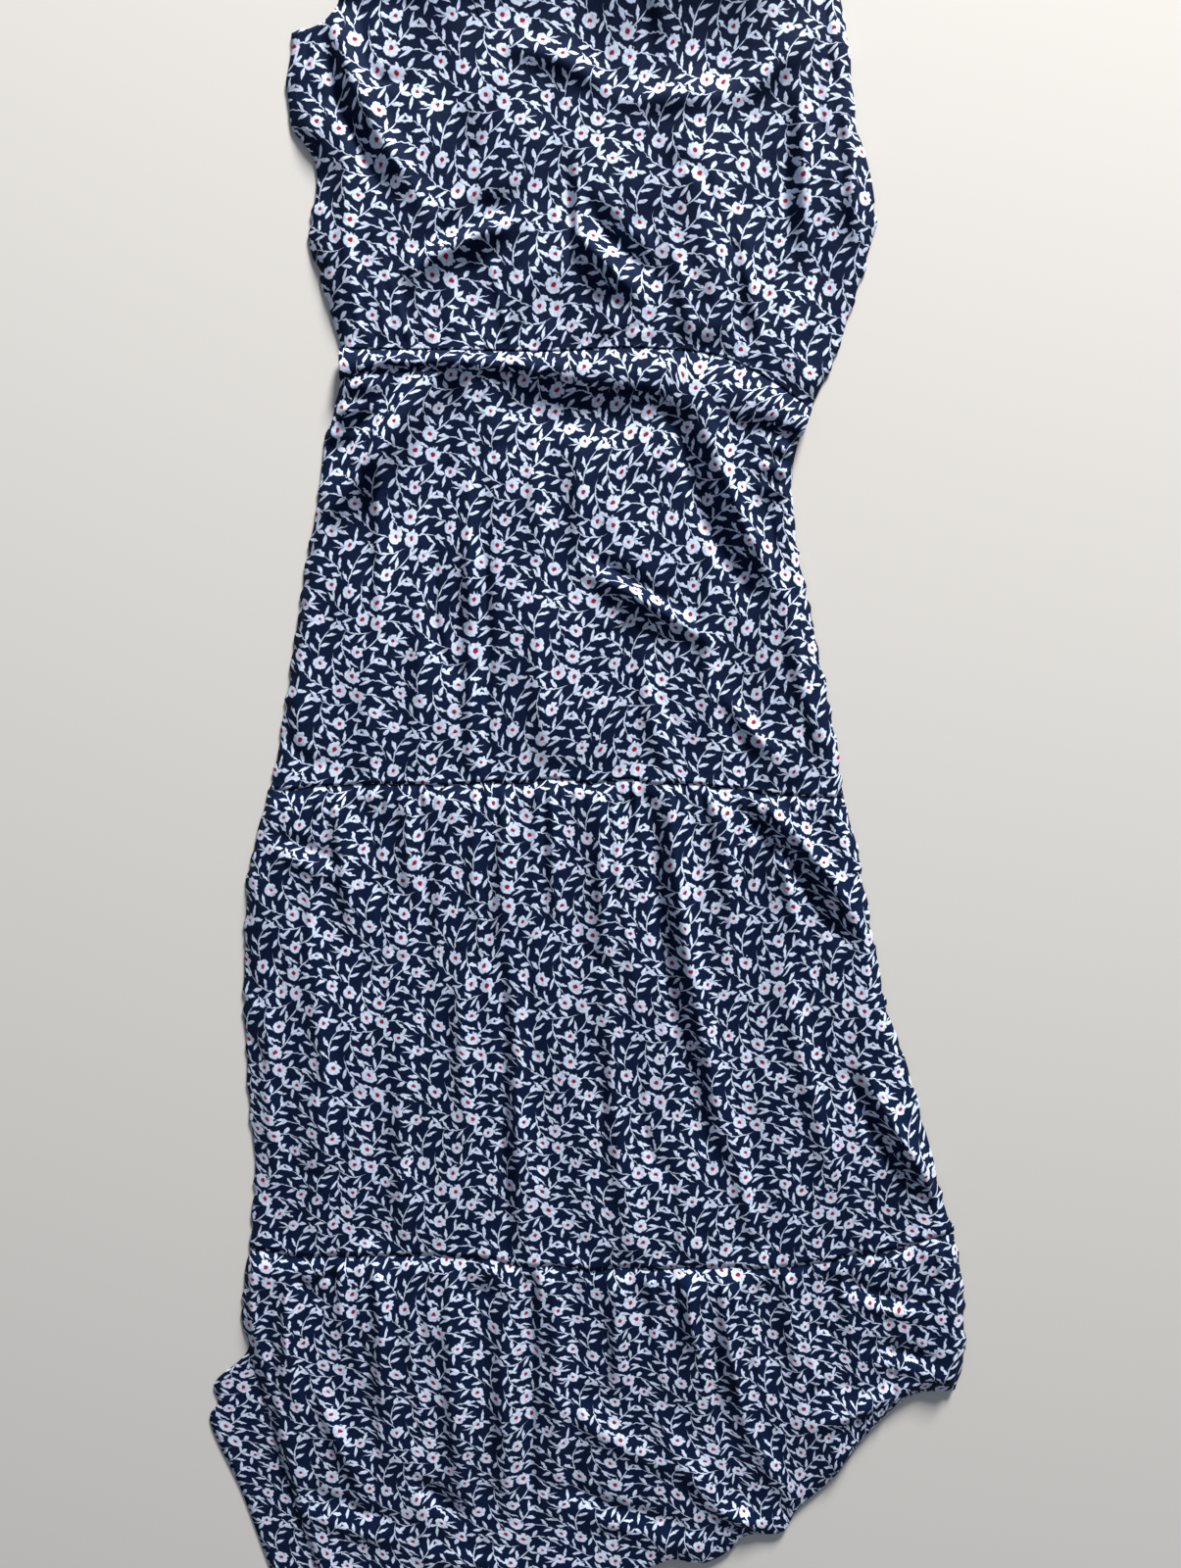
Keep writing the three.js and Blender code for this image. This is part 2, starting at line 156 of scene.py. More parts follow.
def foldLift(fold, x, y):
    # a soft ridge, or a trough where high is below zero, bowed sideways by its last value
    x0, y0, x1, y1, wide, high, bow = fold
    length = math.hypot(x1 - x0, y1 - y0)
    along = ((x - x0) * (x1 - x0) + (y - y0) * (y1 - y0)) / length
    beside = ((x - x0) * (y1 - y0) - (y - y0) * (x1 - x0)) / length
    share = np.clip(along / length, 0, 1)
    beside = beside - bow * np.sin(math.pi * share)
    past = np.maximum(0, np.maximum(-along, along - length))
    ends = np.sin(math.pi * (lay["foldEnd"] + (1 - 2 * lay["foldEnd"]) * share))
    fade = np.exp(-((beside / wide) ** 2) - (past / (lay["foldPast"] * wide)) ** 2)
    return lay["relief"] * high * ends * fade


def softNoise(x, y, wide, long, seed):
    # smooth bumps about wide by long mm, between -1 and 1
    grid = np.random.default_rng(seed).uniform(-1, 1, (noiseCells + 1, noiseCells + 1))
    u, v = (x / wide) % noiseCells, (y / long) % noiseCells
    i, j = u.astype(int), v.astype(int)
    a, b = u - i, v - j
    a, b = a * a * (3 - 2 * a), b * b * (3 - 2 * b)
    low = grid[i, j] * (1 - a) + grid[i + 1, j] * a
    return low * (1 - b) + (grid[i, j + 1] * (1 - a) + grid[i + 1, j + 1] * a) * b


def gatherLift(gather, across, fromSeam):
    # ridges that start at the seam, each with its own place, height, length and slant
    draw = np.random.default_rng(gather["seed"])
    stray, slanted = gatherDraw["stray"], gatherDraw["slant"]
    lift = np.zeros_like(across)
    for i in range(gather["count"]):
        at = (i + 0.5 + draw.uniform(-stray, stray)) / gather["count"]
        half = draw.uniform(*gatherDraw["half"]) / gather["count"]
        high = gather["high"] * draw.uniform(*gatherDraw["high"])
        longer = gatherDraw["longer"] * draw.random() ** gatherDraw["fewLong"]
        reach = gather["reach"] * (gatherDraw["shortest"] + longer)
        slant = draw.uniform(-slanted, slanted) / gather["count"] / gather["reach"]
        fade = eased(fromSeam - 1, lay["gatherStart"]) * np.exp(-((fromSeam / reach) ** gatherDraw["fade"]))
        lift += high * fade * np.exp(-(((across - at - slant * fromSeam) / half) ** 2))
    return lift


def frontHeight(piece, place, across, down, hemmed=False):
    here = place(across, down)
    x, y = here[..., 0], here[..., 1]
    u, v, flat = x + noiseStart, y + noiseStart, np.zeros_like(across)
    width, length = spanOf(place, across, down)
    fromTop, fromLow = down * length, (1 - down) * length
    sides = rounded(across * width, lay["edgeRoll"]) * rounded((1 - across) * width, lay["edgeRoll"])
    lift = piece["loft"] + sum(foldLift(fold, x, y) for fold in piece["folds"])
    for wide, long, high, seed in piece["rumple"]:
        lift += high * softNoise(u, v, wide, long, seed)
    for wide, long, deep, seed in piece["creases"]:
        line = softNoise(u, v, wide, long, seed)
        wider, longer = lay["creaseBreak"] * wide, lay["creaseBreak"] * long
        broken = softNoise(u, v, wider, longer, seed + lay["breakSeed"])
        lift -= deep * np.clip(2 * broken, 0, 1) * np.exp(-((line / lay["creaseThin"]) ** 2))
    lift = (lift + np.hypot(lift, lay["soften"])) / 2  # no lower than the back
    sewnTop = not piece["gather"]["low"]
    full, nearSeam = 1.0, np.zeros_like(across)
    if sewnTop:
        full = full * eased(fromTop, lay["seamReach"])
    if not hemmed:
        full = full * eased(fromLow, lay["seamReach"])
    lift = lay["seamHigh"] + (lift - lay["seamHigh"]) * full
    lift += gatherLift(piece["gather"], across, fromTop if sewnTop else fromLow)
    # side edges and the seams between tiers aren't straight
    ripple = np.exp(-across * width / lay["rippleReach"]) + np.exp((across - 1) * width / lay["rippleReach"])
    uneven = softNoise(v, flat, lay["rippleLong"], lay["rippleLong"], lay["rippleSeed"])
    x = x + lay["ripple"] * ripple * uneven
    if sewnTop and piece["topWavers"]:
        nearSeam += np.exp(-((fromTop / lay["seamReach"]) ** 2))
    if sewnTop and not hemmed:
        nearSeam += np.exp(-((fromLow / lay["seamReach"]) ** 2))
    waver = softNoise(u, flat, lay["waverLong"], lay["waverLong"], lay["waverSeed"])
    y = y + lay["seamWaver"] * nearSeam * waver
    height = lay["frontRest"] + lift * sides * (rounded(fromLow, lay["hemRoll"]) if hemmed else 1)
    if hemmed:
        height += lay["hemLift"] * (1 - rounded(fromLow, lay["hemLiftReach"]))
    else:
        height += lay["step"] * np.exp(-((fromLow / lay["stepReach"]) ** 2))
    if sewnTop:
        height -= lay["step"] * np.exp(-((fromTop / lay["stepReach"]) ** 2))
    return np.dstack([x, y, height])


# the shift from the seam tables' frame to the part's, read off the second tier
def partShift():
    low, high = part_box("tier2_front")
    flat = patchBetween(tier2Seam, tier3Seam, tier2Front["left"], tier2Front["right"])
    edge = np.linspace(0, 1, edgeSteps)
    zero, one = np.zeros_like(edge), np.ones_like(edge)
    left, right = flat(zero, edge)[:, 0].min(), flat(one, edge)[:, 0].max()
    bottom, top = flat(edge, one)[:, 1].min(), flat(edge, zero)[:, 1].max()
    return np.array([low.x + high.x - (left + right) * mm, low.y + high.y - (top + bottom) * mm, 0]) / 2


def srgb(hexColour):
    parts = [int(hexColour[i:i + 2], 16) / 255 for i in (1, 3, 5)]
    return (*(p / 12.92 if p <= 0.04045 else ((p + 0.055) / 1.055) ** 2.4 for p in parts), 1)


def addNode(tree, kind, *values, **settings):
    # inputs go by place or by name; everything else is a setting of the node
    node = tree.nodes.new("ShaderNode" + kind)
    for name, value in settings.items():
        if name not in node.inputs:
            setattr(node, name, value)
    named = [(node.inputs[name], value) for name, value in settings.items() if name in node.inputs]
    for socket, value in [*zip(node.inputs, values), *named]:
        if isinstance(value, bpy.types.NodeSocket):
            tree.links.new(value, socket)
        elif value is not None:
            socket.default_value = value
    return node.outputs[0]


# the print: sprigs of five kinds in one repeat, all in mm, drawn about its own middle
# each kind has its stem from and to, leaf pairs as along and degrees,
# flowers as along and radius, its bud, and how far the leaves on the two sides stand apart
sprigKinds = {
    "spray": {
        "stem": (-13, 14), "pairs": [(-6.5, 50), (3, 46)], "flowers": [(-16.5, 5.3)], "bud": 13, "shift": 3,
    },
    "branch": {"stem": (-13, 10), "pairs": [(-8, 48), (1, 44)], "flowers": [], "bud": 9, "shift": 2.4},
    "posy": {"stem": (-3, 15), "pairs": [(5.5, 46)], "flowers": [(-5, 5.8)], "bud": 14, "shift": 1.6},
    "star": {
        "stem": (3, 12), "pairs": [(3.6, 40), (-4.4, 138)], "flowers": [(0, 4.5)], "bud": None, "shift": 0,
    },
    "twig": {"stem": (-8, 12), "pairs": [(-3, 46)], "flowers": [(-11.5, 4.8)], "bud": 9, "shift": 1.8},
}
# each sprig's kind, place in the repeat, turn in degrees and bend
printRepeat = {
    "wide": 80, "high": 64, "turn": math.radians(17),
    "sprigs": [
        ("spray", 70.1, 30.5, 166, -0.017), ("spray", 61.8, 63.7, 90, -0.018),
        ("branch", 46.1, 63.4, 151, 0.015), ("branch", 79.7, 2.8, 296, 0.024),
        ("branch", 5.0, 17.8, 191, -0.02), ("posy", 18.0, 50.8, 51, 0.011),
        ("posy", 25.0, 35.3, 30, -0.024), ("star", 37.1, 23.4, 40, -0.013),
        ("star", 53.0, 17.2, 220, -0.021), ("twig", 20.5, 12.4, 55, 0.013),
        ("branch", 79.8, 45.2, 307, 0.018), ("twig", 39.3, 51.4, 176, 0.024),
    ],
}
printDesign = {
    "leaf": (4.7, 1.3), "leafRise": 0.3, "leafSoft": (-0.16, 0.2),  # half length and half width
    "stemWide": 0.5, "stemPast": 1, "budTurn": math.radians(20),
    "lobes": 0.5, "petalSoft": 0.05, "eye": 0.3, "eyeSoft": (0.03, 0.04),
    "blushTo": 0.55, "blushMost": 0.35,  # pink round the eye
    "brush": 2.6, "brushSpan": (0.2, 0.8), "wobble": 0.9,  # edges drawn by hand
    "thinInk": (0.35, 0.75, 0.7),  # where the ink starts to thin, where it is thinnest, and how much
    "drift": 3.6, "driftLong": (31, 23), "driftTurn": math.radians(61), "driftStart": (0.7, 2.1, 0),
    "threads": 1.2, "weaveStrength": 0.25, "weaveDeep": 0.0002,
    "ground": "#061A3B", "groundDeep": "#020F28", "ink": "#D6DFF1", "inkCool": "#AFBCD8",
    "eyeRed": "#8E1A2E", "blush": "#D9A9B0", "roughness": 0.8, "specular": 0.12,
}


def farFrom(tree, vector, middle):
    return addNode(tree, "VectorMath", vector, (*middle, 0), operation="DISTANCE").node.outputs["Value"]


def lensRadius(half, wide):
    return (half**2 + wide**2) / (2 * wide)


def lensFar(tree, vector, size, along, rise, turn):
    # a pointed oval, where two circles meet, that starts at a point and runs out at an angle:
    # the distance to the farther of their two middles, less than the radius inside
    half, wide = size
    x, y = along + half * math.cos(turn), rise + half * math.sin(turn)
    reach = lensRadius(half, wide) - wide
    lower = farFrom(tree, vector, (x + reach * math.sin(turn), y - reach * math.cos(turn)))
    upper = farFrom(tree, vector, (x - reach * math.sin(turn), y + reach * math.cos(turn)))
    return addNode(tree, "Math", lower, upper, operation="MAXIMUM")


def sprigShape(tree, place, sprig):
    # the stem, positive inside, leaves and bud as the distances of lensFar,
    # and the flowers as distance over their radius
    kind, x, y, degrees, bend = sprig
    design, form = printDesign, sprigKinds[kind]
    c, s = math.cos(math.radians(degrees)), math.sin(math.radians(degrees))
    half = (printRepeat["wide"] / 2, printRepeat["high"] / 2, 1)
    moved = addNode(tree, "VectorMath", place, (x, y, 0), operation="SUBTRACT")
    near = addNode(tree, "VectorMath", moved, half, tuple(-v for v in half), operation="WRAP")
    along = addNode(tree, "VectorMath", near, (c, s, 0), operation="DOT_PRODUCT").node.outputs["Value"]
    beside = addNode(tree, "VectorMath", near, (-s, c, 0), operation="DOT_PRODUCT").node.outputs["Value"]
    square = addNode(tree, "Math", along, along, operation="MULTIPLY")
    level = addNode(tree, "Math", square, -bend, beside, operation="MULTIPLY_ADD")
    height = addNode(tree, "Math", level, operation="ABSOLUTE")
    mirrored = addNode(tree, "CombineXYZ", along, height)
    leafSide = mirrored
    if form["shift"]:
        side = addNode(tree, "Math", level, operation="SIGN")
        slid = addNode(tree, "Math", side, form["shift"], along, operation="MULTIPLY_ADD")
        leafSide = addNode(tree, "CombineXYZ", slid, height)
    start, end = form["stem"]
    half, wide = (end - start) / 2 + design["stemPast"], design["stemWide"]
    radius = lensRadius(half, wide)
    stemFar = farFrom(tree, mirrored, ((start + end) / 2, wide - radius))
    stem = addNode(tree, "Math", radius, stemFar, operation="SUBTRACT")
    leaves = []
    for at, lean in form["pairs"]:
        leaves.append(lensFar(tree, leafSide, design["leaf"], at, design["leafRise"], math.radians(lean)))
    if form["bud"]:
        leaves.append(lensFar(tree, mirrored, design["leaf"], form["bud"], 0, design["budTurn"]))
    flowers = []
    for at, size in form["flowers"]:
        rise = bend * at * at
        far = farFrom(tree, near, (at * c - rise * s, at * s + rise * c))
        flowers.append(addNode(tree, "Math", far, 1 / size, operation="MULTIPLY"))
    return [stem], leaves, flowers


def nearest(tree, shapes, operation):
    joined = shapes[0]
    for shape in shapes[1:]:
        joined = addNode(tree, "Math", joined, shape, operation=operation)
    return joined


# woven viscose, reactive printed: a soft matt navy ground under small off-white motifs
def printedViscose():
    material = bpy.data.materials.new("printed woven viscose")
    material.use_nodes = True
    tree = material.node_tree
    shader = tree.nodes["Principled BSDF"]
    design = printDesign
    cut = addNode(tree, "UVMap", uv_map="cut")
    flat = addNode(tree, "VectorMath", cut, operation="SCALE", Scale=1000.0)  # metres of cut cloth to mm
    strokes = {"Scale": 1 / design["brush"], "Detail": 0.0, "noise_dimensions": "2D"}
    brush = addNode(tree, "TexNoise", Vector=flat, **strokes)
    sway = design["wobble"] / 2
    wobble = addNode(tree, "MapRange", brush, *design["brushSpan"], -sway, sway)  # edges drawn by hand
    rowsLong, rowsWide = design["driftLong"]
    turn, finer = (0, 0, design["driftTurn"]), (1 / rowsLong, 1 / rowsWide, 1)
    waves = addNode(tree, "Mapping", flat, design["driftStart"], turn, finer)
    waves = addNode(tree, "VectorMath", waves, operation="SINE")
    drift = addNode(tree, "VectorMath", waves, operation="SCALE", Scale=design["drift"])  # uneven rows
    place = addNode(tree, "VectorMath", flat, drift, operation="ADD")
    unsteady = addNode(tree, "CombineXYZ", wobble, wobble)
    place = addNode(tree, "VectorMath", place, unsteady, operation="ADD")
    place = addNode(tree, "Mapping", place, None, (0, 0, printRepeat["turn"]))

    stems, leaves, flowers = [], [], []
    for sprig in printRepeat["sprigs"]:
        for found, more in zip((stems, leaves, flowers), sprigShape(tree, place, sprig)):
            found += more
    leafRadius = lensRadius(*design["leaf"])
    leaf = addNode(tree, "Math", leafRadius, nearest(tree, leaves, "MINIMUM"), operation="SUBTRACT")
    drawn = addNode(tree, "Math", leaf, nearest(tree, stems, "MAXIMUM"), operation="MAXIMUM")
    flowerFar = nearest(tree, flowers, "MINIMUM")
    lobed = addNode(tree, "Math", brush, design["lobes"], flowerFar, operation="MULTIPLY_ADD")
    foliage = addNode(tree, "MapRange", drawn, *design["leafSoft"], 0.0, 1.0)
    edge, soft = 1 + design["lobes"] / 2, design["petalSoft"]
    petals = addNode(tree, "MapRange", lobed, edge + soft, edge - soft, 0.0, 1.0)
    inked = addNode(tree, "Math", foliage, petals, operation="MAXIMUM")
    thinFrom, thinTo, thinMost = design["thinInk"]
    thin = addNode(tree, "MapRange", brush, thinFrom, thinTo, 0.0, thinMost)
    ink = addNode(tree, "MixRGB", thin, srgb(design["ink"]), srgb(design["inkCool"]))
    blush = addNode(tree, "MapRange", flowerFar, design["eye"], design["blushTo"], design["blushMost"], 0.0)
    ink = addNode(tree, "MixRGB", blush, ink, srgb(design["blush"]))
    within, beyond = design["eyeSoft"]
    eye = addNode(tree, "MapRange", flowerFar, design["eye"] - within, design["eye"] + beyond, 1.0, 0.0)
    ink = addNode(tree, "MixRGB", eye, ink, srgb(design["eyeRed"]))
    ground = addNode(tree, "MixRGB", brush, srgb(design["groundDeep"]), srgb(design["ground"]))
    colour = addNode(tree, "MixRGB", inked, ground, ink)

    # plain weave: the threads lie about 0.3 mm apart, too fine to show, so they are drawn 1.2 mm apart
    threads = addNode(tree, "VectorMath", flat, operation="SCALE", Scale=2 * math.pi / design["threads"])
    threads = addNode(tree, "VectorMath", threads, operation="SINE")
    warp, weft = addNode(tree, "SeparateXYZ", threads).node.outputs[:2]
    weave = addNode(tree, "Math", warp, weft, operation="MULTIPLY")
    relief = {"Strength": design["weaveStrength"], "Distance": design["weaveDeep"]}
    bump = addNode(tree, "Bump", Height=weave, **relief)
    tree.links.new(colour, shader.inputs["Base Color"])
    tree.links.new(bump, shader.inputs["Normal"])
    shader.inputs["Roughness"].default_value = design["roughness"]
    shader.inputs["Specular IOR Level"].default_value = design["specular"]
    return material


# polyester sewing thread, twisted: dark navy with a dull shine
threadLook = {"dark": "#0D1526", "light": "#1B2740", "twist": 900.0, "roughness": 0.55}


def sewingThread():
    material = bpy.data.materials.new("navy polyester thread")
    material.use_nodes = True
    tree = material.node_tree
    shader = tree.nodes["Principled BSDF"]
    place = addNode(tree, "TexCoord").node.outputs["Object"]
    twist = addNode(tree, "TexNoise", Vector=place, Scale=threadLook["twist"], Detail=1.0)
    colour = addNode(tree, "MixRGB", twist, srgb(threadLook["dark"]), srgb(threadLook["light"]))
    tree.links.new(colour, shader.inputs["Base Color"])
    shader.inputs["Roughness"].default_value = threadLook["roughness"]
    return material


viscose, thread = printedViscose(), sewingThread()
print("materials made:", len(viscose.node_tree.nodes), "nodes in the print")


def runAlong(points, axis):
    # length of cloth from the first row or column to each point
    steps = np.linalg.norm(np.diff(points, axis=axis), axis=-1)
    start = np.zeros_like(np.take(steps, [0], axis))
    return np.concatenate([start, np.cumsum(steps, axis)], axis)


def gatheredCut(points, across, width, start, level=0):
    # a tier is a straight strip of cloth, its grain even in one row of the grid;
    # most of what is gathered up lies hidden between the gathers
    lies = np.linalg.norm(points[:, -1, :2] - points[:, 0, :2], axis=-1)[:, None]
    shown = lies + lay["fullnessShown"] * np.maximum(width - lies, 0)
    run = runAlong(points, 0)
    fallen = start[1] + points[level, :, 1] + run[level] - run
    return np.dstack([(across - 0.5) * shown + start[0], fallen])


def clothPiece(name, node, points, cut):
    # a grid of points in mm becomes a thin printed shell that takes the CAD panel's place
    rows, columns = points.shape[:2]
    index = np.arange(rows * columns).reshape(rows, columns)
    quads = np.stack([index[:-1, :-1], index[1:, :-1], index[1:, 1:], index[:-1, 1:]], -1).reshape(-1, 4)
    mesh = bpy.data.meshes.new(name)
    mesh.from_pydata((points.reshape(-1, 3) * mm + shift).tolist(), [], quads.tolist())
    mesh.polygons.foreach_set("use_smooth", np.ones(len(quads), bool))
    bake = np.stack(np.meshgrid(np.linspace(0, 1, columns), np.linspace(1, 0, rows)), -1)
    for layer, flat in (("OFBake", bake), ("cut", cut * mm)):
        uv = mesh.uv_layers.new(name=layer)
        uv.data.foreach_set("uv", flat.reshape(-1, 2)[quads.reshape(-1)].astype(np.float32).ravel())
    mesh.materials.append(viscose)
    piece = bpy.data.objects.new(name, mesh)
    bpy.context.collection.objects.link(piece)
    shell = piece.modifiers.new("shell", "SOLIDIFY")
    shell.thickness, shell.offset = lay["shell"] * mm, -1
    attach(piece, "root")
    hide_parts(node)
    sides = points[1:, :-1] - points[:-1, :-1], points[:-1, 1:] - points[:-1, :-1]
    surface = np.linalg.norm(np.cross(*sides), axis=-1).sum() * 1e-6
    print(name, rows, "x", columns, "points, surface", round(surface, 4), "m2")
    return piece


def gridOf(rows, columns):
    return np.meshgrid(np.linspace(0, 1, columns), rows)


def seamRows(count, seamAt):
    # rows packed closer towards a gathered seam at 0 or 1
    share = np.linspace(0, 1, count)
    packed = lay["evenRows"] * share + (1 - lay["evenRows"]) * share**2
    return packed if seamAt == 0 else 1 - packed[::-1]


def stitches(name, paths, size):
    # a row of short raised threads along each path of points in mm
    verts, faces = [], []
    for path in paths:
        run = runAlong(path[:, None], 0)[:, 0]
        count = int(run[-1] / (size["long"] + size["gap"]))
        for start in np.arange(count) * (size["long"] + size["gap"]):
            ends = np.array([start, start + size["long"]])
            a, b = np.stack([np.interp(ends, run, path[:, k]) for k in range(3)], -1)
            ahead = (b - a) / np.linalg.norm(b - a)
            beside = np.array([-ahead[1], ahead[0], 0]) * size["wide"] / 2
            up = np.array([0, 0, size["high"]])
            ring = [a, (a + b) / 2 + beside, b, (a + b) / 2 - beside]
            first = len(verts)
            verts += [p - up * size["sunk"] for p in ring] + [(a + b) / 2 + up]
            faces += [(first + k, first + (k + 1) % 4, first + 4) for k in (3, 2, 1, 0)]
            faces.append((first, first + 1, first + 2, first + 3))
    mesh = bpy.data.meshes.new(name)
    mesh.from_pydata([(v * mm + shift).tolist() for v in verts], [], faces)
    mesh.update()
    mesh.materials.append(thread)
    piece = bpy.data.objects.new(name, mesh)
    bpy.context.collection.objects.link(piece)
    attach(piece, "root")
    return piece


def raised(table, by):
    return [(x, y + by) for x, y in table]


# bodice front: sides from the shoulder down; each fold is x0, y0, x1, y1, half width, height, bow,
# each crease and rumple is width, length, height, seed, and low gathers start at the lower edge
bodiceFront = {
    "left": [(-221, 508), (-217, 486), (-203, 463), (-203, 438), (-208, 412), (-202, 386), (-191, 345)],
    "right": [
        (179, 575), (187, 533), (193, 493), (204, 456), (211, 420), (206, 395), (190, 345), (177, 309),
    ],
    "ease": 1.05, "cutStart": (0, 0), "loft": 6.0, "rows": 120, "columns": 230,
    "gather": {"count": 38, "high": 2.8, "reach": 22, "seed": 11, "low": True},
    "creases": [(42, 60, 2.6, 31), (24, 34, 1.4, 32)],
    "rumple": [(34, 46, 2.4, 1), (15, 30, 1.0, 2), (90, 90, 2.6, 3)],
    "folds": [
        (-181, 548, -127, 440, 9, 5.5, 6), (-192, 540, -150, 440, 7, -4, 4),
        (-126, 388, -58, 418, 9, 6.5, -3), (-122, 402, -60, 434, 8, -5, -3),
        (-16, 452, -15, 396, 4, -4, 0), (-9, 452, -8, 400, 4, 2.5, 0), (-12, 414, 34, 368, 8, 6.5, 2),
        (2, 428, 46, 384, 7, -5, 2), (152, 500, 157, 400, 7, 5, 0), (143, 495, 147, 410, 6, -4, 0),
        (186, 500, 193, 415, 5, 4, 0), (-20, 604, 150, 600, 40, 8, 0), (-160, 600, -30, 604, 24, 4, 0),
        (-60, 540, 24, 503, 8, 3, -4), (24, 503, 112, 508, 9, 3.5, 3), (112, 508, 152, 545, 8, 3, 4),
        (-172, 520, -178, 370, 8, 4, 3), (70, 540, 96, 350, 16, 3.5, 6), (-60, 540, -90, 470, 10, 4, 3),
        (-40, 390, -62, 338, 6, 3, 2), (60, 404, 72, 340, 6, 3, -2), (110, 420, 128, 335, 6, 3.5, 2),
        (-100, 360, -104, 334, 5, 2.5, 0),
    ],
}


def makeBodiceFront():
    place = patchBetween(neckLine(neck["frontLow"]), waistSeam, bodiceFront["left"], bodiceFront["right"])
    across, down = gridOf(seamRows(bodiceFront["rows"], 1), bodiceFront["columns"])
    points = frontHeight(bodiceFront, place, across, down)
    cut = points[..., :2] * bodiceFront["ease"] + bodiceFront["cutStart"]
    return clothPiece("bodiceFront", "bodice_front", points, cut), points


# first tier: the fold that sags over the waist, as share across and hang in mm,
# and its section downwards, as share of the hang and height, drawn for a fold sectionDeep mm deep
tier1Front = {
    "left": [(-188, 305), (-200, 272), (-208, 228), (-223, 154), (-243, 50)],
    "right": [(160, 268), (154, 245), (156, 206), (167, 154), (191, 50)],
    "cut": 486, "cutStart": (170, 700), "evenRow": 40, "loft": 5.6, "topWavers": False,
    "rows": 104, "columns": 230, "rollRows": 48, "upperRows": 26, "sectionDeep": 30,
    "rollGather": 0.8, "rollRumple": (20, 30, 1.3, 21),
    "hangWaver": {"share": 0.1, "over": 400, "long": 16, "seed": 22},
    "gather": {"count": 36, "high": 2.2, "reach": 20, "seed": 12, "low": False},
    "creases": [(40, 80, 2.4, 33), (24, 40, 1.4, 34)],
    "rumple": [(30, 60, 2.2, 4), (14, 34, 1.0, 5), (90, 120, 2.4, 6)],
    "sag": [(0, 24), (0.1, 12), (0.25, 13), (0.44, 20), (0.62, 34), (0.74, 42), (0.86, 38), (1, 20)],
    "section": [
        (0, 6.1), (0.1, 7.0), (0.28, 9.2), (0.6, 12.0), (0.88, 11.4), (1, 8.6), (0.9, 5.6), (0.55, 4.8),
        (0.3, 4.4), (0.18, 3.6), (0.3, 2.4),
    ],
    "folds": [
        (-122, 312, -206, 205, 12, 8, -6), (-106, 298, -160, 180, 13, -6, -4),
        (-150, 300, -200, 250, 8, -4, 0), (84, 284, 142, 156, 9, 6.5, 4), (64, 282, 118, 156, 7, -7, 4),
        (-66, 290, 40, 278, 14, -3.6, 0), (-91, 230, -94, 6, 6, 4.5, 0), (-80, 225, -83, 10, 5, -3, 0),
        (-2, 166, 62, 130, 6, 4, -2), (2, 176, 66, 140, 5, -3, -2), (26, 152, 92, 112, 6, 3.5, -2),
        (94, 190, 92, 50, 7, 4, 2), (104, 72, 146, 24, 6, 3.5, 2), (-158, 270, -163, 130, 6, 3.5, 0),
        (-165, 120, -180, 8, 9, 3, 0), (-6, 270, -10, 180, 7, 3, 2), (-44, 280, -40, 190, 6, 3, 0),
        (40, 110, 60, 12, 8, 3, 3), (150, 150, 176, 40, 7, 3.5, 2), (-205, 190, -232, 60, 7, 3.5, 2),
        (-200, 300, -158, 305, 4, 2, 0), (-203, 284, -160, 288, 4, 2, 0),
        (-206, 266, -168, 270, 4, 2, 0), (130, 262, 165, 252, 4, 2.5, 0),
        (128, 246, 158, 238, 4, 2.5, 0), (126, 230, 158, 224, 4, 2, 0), (-130, 150, -140, 20, 8, 3, -3),
        (-40, 150, -36, 20, 8, 2.5, 2),
    ],
}


def makeTier1Front():
    low = raised(tier2Seam, -lay["overhang"])
    place = patchBetween(waistSeam, low, tier1Front["left"], tier1Front["right"])
    deep, columns = tier1Front["sectionDeep"], tier1Front["columns"]
    rows = [(share * deep, high) for share, high in tier1Front["section"]]
    section = lineThrough(rows)(np.linspace(0, 1, tier1Front["rollRows"]))
    across, row = np.meshgrid(np.linspace(0, 1, columns), np.arange(len(section)))
    hang = np.interp(across, *np.array(tier1Front["sag"], float).T)
    waver = tier1Front["hangWaver"]
    uneven = softNoise(across * waver["over"], across * 0, waver["long"], waver["long"], waver["seed"])
    hang = hang * (1 + waver["share"] * uneven)
    length = spanOf(place, across, np.zeros_like(across))[1]
    share = section[row, 0] / deep
    here = place(across, hang * share / length)
    over = np.sin(math.pi * np.clip(row / tier1Front["upperRows"], 0, 1))  # the upper side of the roll
    wide, long, high, seed = tier1Front["rollRumple"]
    rumple = softNoise(here[..., 0] + noiseStart, here[..., 1] + noiseStart, wide, long, seed)
    height = section[row, 1] + high * rumple * over
    height += tier1Front["rollGather"] * gatherLift(tier1Front["gather"], across, hang * share) * over
    sag = np.dstack([here, height])
    lower, at = gridOf(np.linspace(0, 1, tier1Front["rows"])[1:], columns)
    begin = hang[:1] * tier1Front["section"][-1][0] / length[:1]
    skirt = frontHeight(tier1Front, place, lower, begin + (1 - begin) * at)
    points, columnsAt = np.vstack([sag, skirt]), np.vstack([across, lower])
    even = len(sag) + tier1Front["evenRow"]
    cut = gatheredCut(points, columnsAt, tier1Front["cut"], tier1Front["cutStart"], even)
    return clothPiece("tier1Front", "tier1_front", points, cut), points


